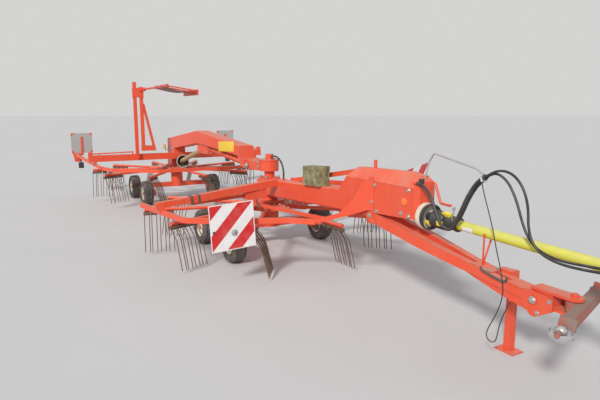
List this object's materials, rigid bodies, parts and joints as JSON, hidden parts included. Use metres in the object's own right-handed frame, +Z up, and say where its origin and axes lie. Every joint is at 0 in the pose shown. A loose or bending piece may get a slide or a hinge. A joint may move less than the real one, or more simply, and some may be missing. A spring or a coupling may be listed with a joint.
{
  "type": "rotary rake",
  "caption": "Twin-rotor rotary rake in line for the road: tined rotors under bent guards, a gooseneck boom, a curtain mast and a drawbar with a link crosshead, on small wheels and a stand.",
  "frame": {"origin": "on the ground at the middle of the machine's length and width", "axes": "+X towards the hitch, +Y to the machine's left, +Z up"},
  "size_m": [10, 3.304, 2.085],
  "materials": {
    "orange_paint": "gloss paint, sun-faded and dusty",
    "cream_paint": "satin cream paint, dusty",
    "khaki_coat": "weathered khaki cover",
    "black_plastic": "matte black",
    "yellow_plastic": "semi-gloss guard tube",
    "spring_steel": "worn brown spring wire",
    "bright_steel": "zinc plated",
    "tyre": "dusty ribbed rubber",
    "board_face": "retro-reflective sheet, red and white",
    "cloth": "coated cloth",
    "rubber_hose": "smooth black hose"
  },
  "bodies": {
    "frame": {"drawbar": "orange_paint", "main_beam": "orange_paint", "head_box": "orange_paint", "front_guard": "orange_paint", "front_guard_arms": "orange_paint", "top_box": "khaki_coat", "top_stay": "orange_paint", "front_chassis": "orange_paint", "front_gearbox": "orange_paint", "stand_bracket": "orange_paint", "shaft_ring": "cream_paint", "shaft_cone": "black_plastic", "shaft_rest": "orange_paint", "swivel_column": "orange_paint", "front_boards": "board_face", "front_board_posts": "bright_steel", "hose_holder": "bright_steel", "box_hose": "rubber_hose", "joint_hose": "rubber_hose", "supply_hose_left": "rubber_hose", "supply_hose_right": "rubber_hose", "boom_hose": "rubber_hose", "pull_cord": "rubber_hose", "hose_connectors": "bright_steel"},
    "crosshead": {"crosshead": "orange_paint", "catch_bowls": "bright_steel"},
    "front_rotor": {"front_rotor": "orange_paint", "front_tines": "spring_steel"},
    "rear_rotor": {"rear_rotor": "orange_paint", "rear_tines": "spring_steel"},
    "input_shaft": {"shaft_joint": "black_plastic", "shaft_tube": "yellow_plastic", "shaft_yoke": "black_plastic"},
    "parking_stand": {"parking_stand": "orange_paint"},
    "swivel_drum": {"swivel_drum": "orange_paint"},
    "rear_frame": {"boom": "orange_paint", "drive_tube": "orange_paint", "inner_shaft": "khaki_coat", "inner_cone": "black_plastic", "rear_gearbox": "orange_paint", "rear_chassis": "orange_paint", "rear_beam": "orange_paint", "rear_guard": "orange_paint", "rear_boards": "board_face", "rear_board_posts": "orange_paint"},
    "curtain_mast": {"curtain_mast": "orange_paint"},
    "curtain": {"curtain_frame": "orange_paint", "curtain_sheet": "cloth"},
    "front_lead_wheel": {"front_lead_tyre": "tyre", "front_lead_rim": "cream_paint"},
    "front_trail_wheel": {"front_trail_tyre": "tyre", "front_trail_rim": "cream_paint"},
    "front_single_wheel": {"front_single_tyre": "tyre", "front_single_rim": "cream_paint"},
    "rear_lead_wheel": {"rear_lead_tyre": "tyre", "rear_lead_rim": "cream_paint"},
    "rear_trail_wheel": {"rear_trail_tyre": "tyre", "rear_trail_rim": "cream_paint"},
    "rear_single_wheel": {"rear_single_tyre": "tyre", "rear_single_rim": "cream_paint"}
  },
  "joints": [
    {"name": "hitch_swivel", "type": "hinge", "parent": "frame", "child": "crosshead", "pos_m": [4.455, 0, 0.52], "axis": [0, 0, 1], "range_deg": [-75, 35]},
    {"name": "front_rotor_spin", "type": "hinge", "parent": "frame", "child": "front_rotor", "pos_m": [0.5, 0, 0.49], "axis": [0, 0, 1], "continuous": true},
    {"name": "input_shaft_raise", "type": "hinge", "parent": "frame", "child": "input_shaft", "pos_m": [3.31996, 0, 0.823], "axis": [0, -1, 0], "range_deg": [0, 30]},
    {"name": "stand_fold", "type": "hinge", "parent": "frame", "child": "parking_stand", "pos_m": [3.92, 0.15, 0.52], "axis": [0, 1, 0], "range_deg": [0, 95]},
    {"name": "boom_swing", "type": "hinge", "parent": "frame", "child": "swivel_drum", "pos_m": [0.5, 0, 0.95], "axis": [0, 0, 1], "range_deg": [-8, 45]},
    {"name": "boom_lift", "type": "hinge", "parent": "swivel_drum", "child": "rear_frame", "pos_m": [0.08, 0, 0.93], "axis": [0, 1, 0], "range_deg": [0, 10]},
    {"name": "rear_rotor_spin", "type": "hinge", "parent": "rear_frame", "child": "rear_rotor", "pos_m": [-3.5, 0, 0.56], "axis": [0, 0, 1], "continuous": true},
    {"name": "mast_lower", "type": "hinge", "parent": "rear_frame", "child": "curtain_mast", "pos_m": [-3.122, -0.774, 0.82], "axis": [1, 0, 0], "range_deg": [0, 90]},
    {"name": "curtain_fold", "type": "hinge", "parent": "curtain_mast", "child": "curtain", "pos_m": [-2, -0.63, 1.966], "axis": [1, 0, 0], "range_deg": [0, 180]},
    {"name": "front_lead_wheel_spin", "type": "hinge", "parent": "frame", "child": "front_lead_wheel", "pos_m": [1.02, -0.68, 0.21], "axis": [0, 1, 0], "continuous": true},
    {"name": "front_trail_wheel_spin", "type": "hinge", "parent": "frame", "child": "front_trail_wheel", "pos_m": [0.07, -0.68, 0.21], "axis": [0, 1, 0], "continuous": true},
    {"name": "front_single_wheel_spin", "type": "hinge", "parent": "frame", "child": "front_single_wheel", "pos_m": [0.54, 0.68, 0.21], "axis": [0, 1, 0], "continuous": true},
    {"name": "rear_lead_wheel_spin", "type": "hinge", "parent": "rear_frame", "child": "rear_lead_wheel", "pos_m": [-2.98, -0.68, 0.21], "axis": [0, 1, 0], "continuous": true},
    {"name": "rear_trail_wheel_spin", "type": "hinge", "parent": "rear_frame", "child": "rear_trail_wheel", "pos_m": [-3.93, -0.68, 0.21], "axis": [0, 1, 0], "continuous": true},
    {"name": "rear_single_wheel_spin", "type": "hinge", "parent": "rear_frame", "child": "rear_single_wheel", "pos_m": [-3.46, 0.68, 0.21], "axis": [0, 1, 0], "continuous": true}
  ]
}
